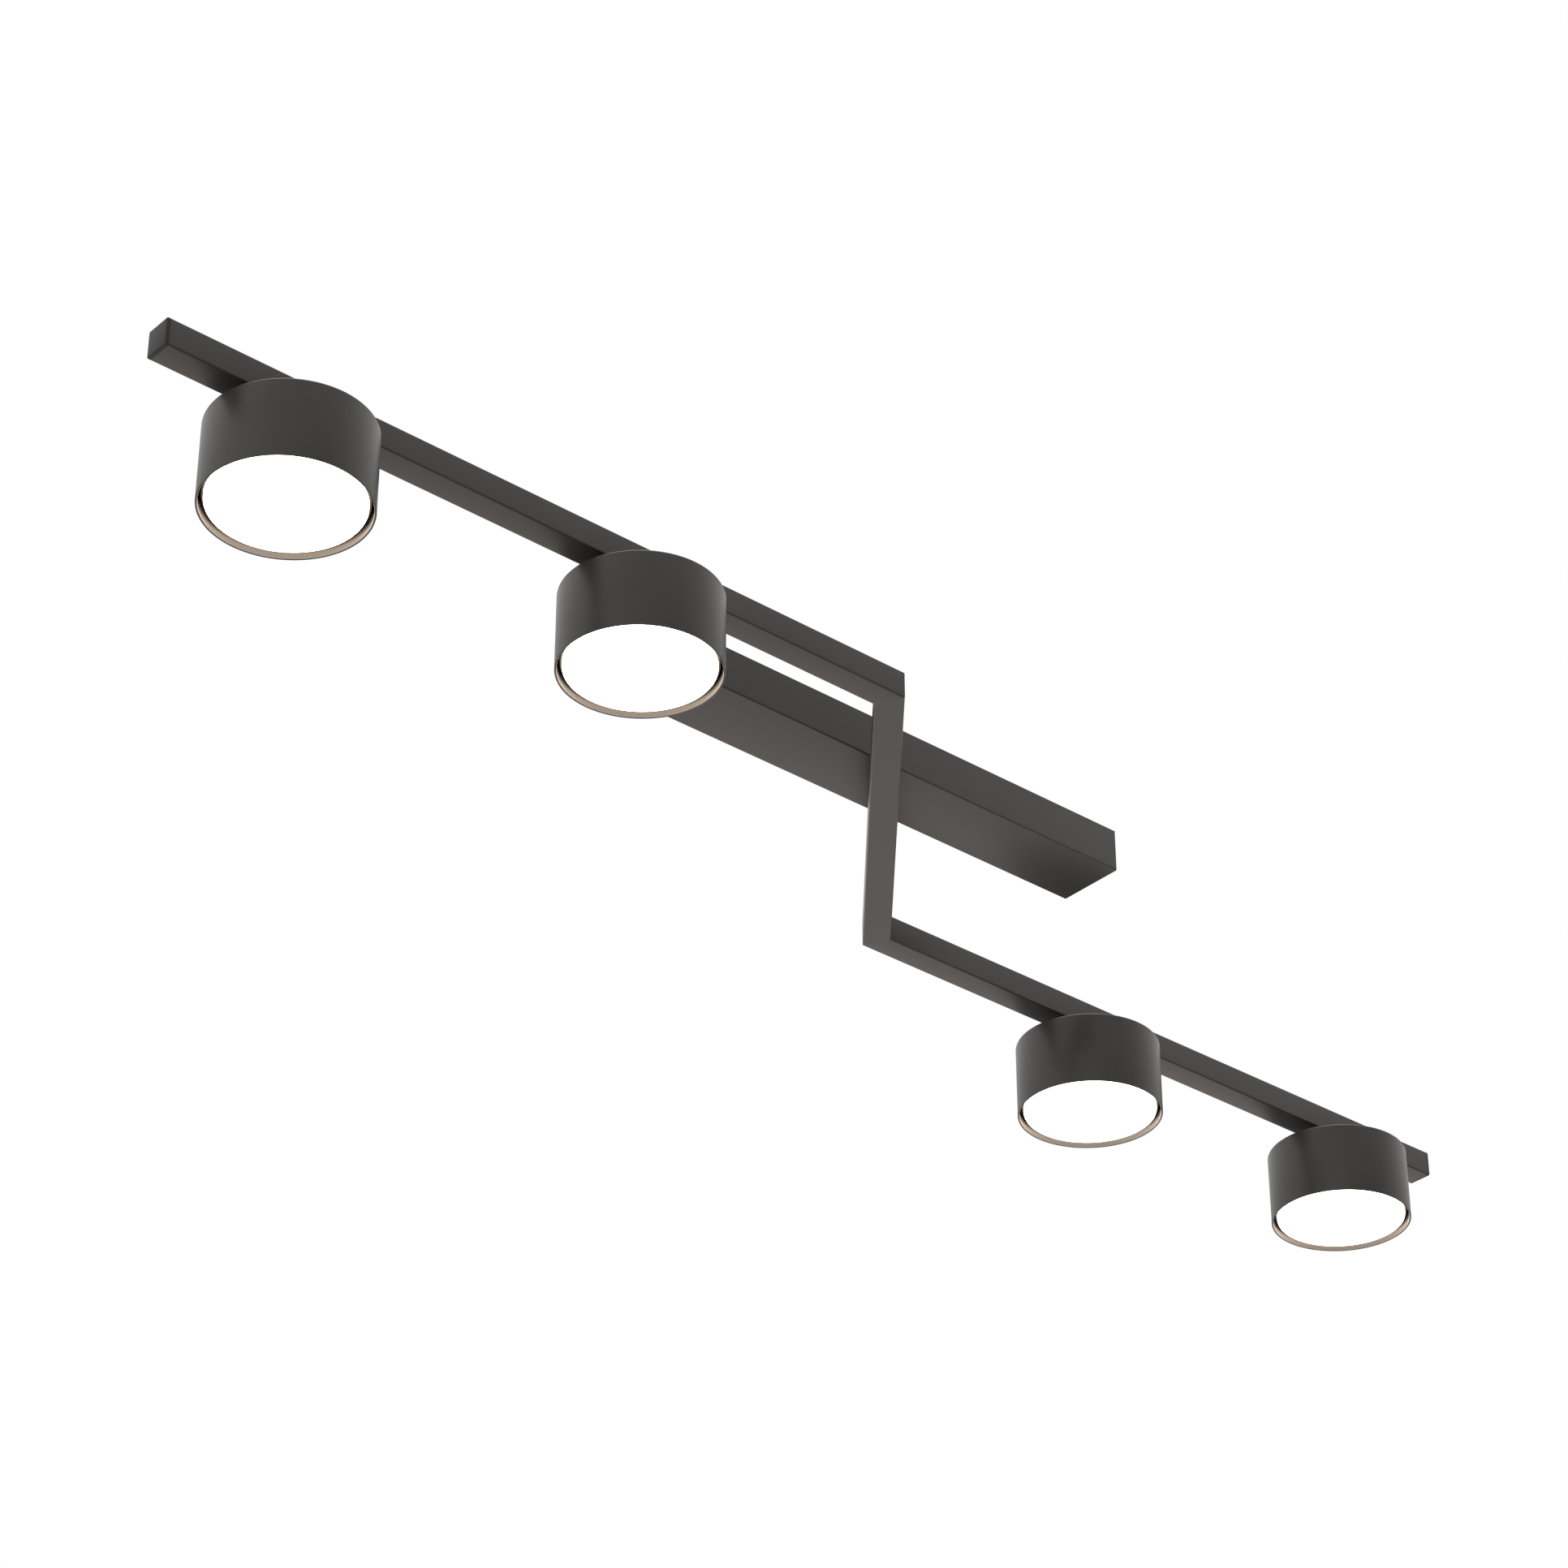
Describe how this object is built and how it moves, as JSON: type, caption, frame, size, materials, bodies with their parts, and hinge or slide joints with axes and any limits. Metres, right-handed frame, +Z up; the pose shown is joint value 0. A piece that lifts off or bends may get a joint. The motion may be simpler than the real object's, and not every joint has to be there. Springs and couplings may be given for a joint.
{
  "type": "ceiling track light fixture",
  "caption": "Cranked square-tube ceiling light: two parallel arms on a diagonal bar under a slim canopy, with round downward lamp heads.",
  "frame": {"origin": "middle of the canopy's open face, on the ceiling plane", "axes": "+Z up into the ceiling, +X along the two arms, +Y across them"},
  "size_m": [1.012, 0.261, 0.0985],
  "materials": {
    "powder_coat": "satin warm dark grey powder coat, fine grain",
    "zinc_steel": "bright zinc plate",
    "dark_screw": "black oxide",
    "white_plastic": "matt",
    "cap_plastic": "satin moulded",
    "lamp_plastic": "satin moulded",
    "brass": "turned",
    "earth_insulation": "smooth",
    "cable_sheath": "smooth",
    "circuit_board": "white solder mask",
    "opal_plastic": "opal, lit from within"
  },
  "bodies": {
    "fixture": {"canopy_cover": "powder_coat", "ceiling_bracket": "zinc_steel", "canopy_screws": "dark_screw", "terminal_block": "white_plastic", "terminal_screws": "zinc_steel", "earth_screw": "brass", "earth_lead": "earth_insulation", "left_cable": "cable_sheath", "right_cable": "cable_sheath", "hanger_sleeves": "powder_coat", "hanger_nipples": "zinc_steel", "hex_nuts": "zinc_steel", "square_nuts": "zinc_steel", "left_arm": "powder_coat", "middle_bar": "powder_coat", "right_arm": "powder_coat", "left_end_cap": "cap_plastic", "right_end_cap": "cap_plastic", "holder_spacers": "zinc_steel", "holder_screws": "zinc_steel", "shell_1": "powder_coat", "sleeve_1": "powder_coat", "nipple_1": "zinc_steel", "holder_1": "white_plastic", "contacts_1": "brass", "shell_2": "powder_coat", "sleeve_2": "powder_coat", "nipple_2": "zinc_steel", "holder_2": "white_plastic", "contacts_2": "brass", "shell_3": "powder_coat", "sleeve_3": "powder_coat", "nipple_3": "zinc_steel", "holder_3": "white_plastic", "contacts_3": "brass", "shell_4": "powder_coat", "sleeve_4": "powder_coat", "nipple_4": "zinc_steel", "holder_4": "white_plastic", "contacts_4": "brass"},
    "lamp_1": {"lamp_housing_1": "lamp_plastic", "lamp_pins_1": "brass", "led_board_1": "circuit_board", "diffuser_1": "opal_plastic"},
    "lamp_2": {"lamp_housing_2": "lamp_plastic", "lamp_pins_2": "brass", "led_board_2": "circuit_board", "diffuser_2": "opal_plastic"},
    "lamp_3": {"lamp_housing_3": "lamp_plastic", "lamp_pins_3": "brass", "led_board_3": "circuit_board", "diffuser_3": "opal_plastic"},
    "lamp_4": {"lamp_housing_4": "lamp_plastic", "lamp_pins_4": "brass", "led_board_4": "circuit_board", "diffuser_4": "opal_plastic"}
  },
  "joints": [
    {"name": "lamp_1_twist", "type": "hinge", "parent": "fixture", "child": "lamp_1", "pos_m": [-0.433, -0.0905, -0.0973], "axis": [0, 0, -1], "range_deg": [0, 18]},
    {"name": "lamp_2_twist", "type": "hinge", "parent": "fixture", "child": "lamp_2", "pos_m": [-0.2325, -0.0905, -0.0973], "axis": [0, 0, -1], "range_deg": [0, 18]},
    {"name": "lamp_3_twist", "type": "hinge", "parent": "fixture", "child": "lamp_3", "pos_m": [0.2325, 0.0905, -0.0973], "axis": [0, 0, -1], "range_deg": [0, 18]},
    {"name": "lamp_4_twist", "type": "hinge", "parent": "fixture", "child": "lamp_4", "pos_m": [0.433, 0.0905, -0.0973], "axis": [0, 0, -1], "range_deg": [0, 18]}
  ]
}
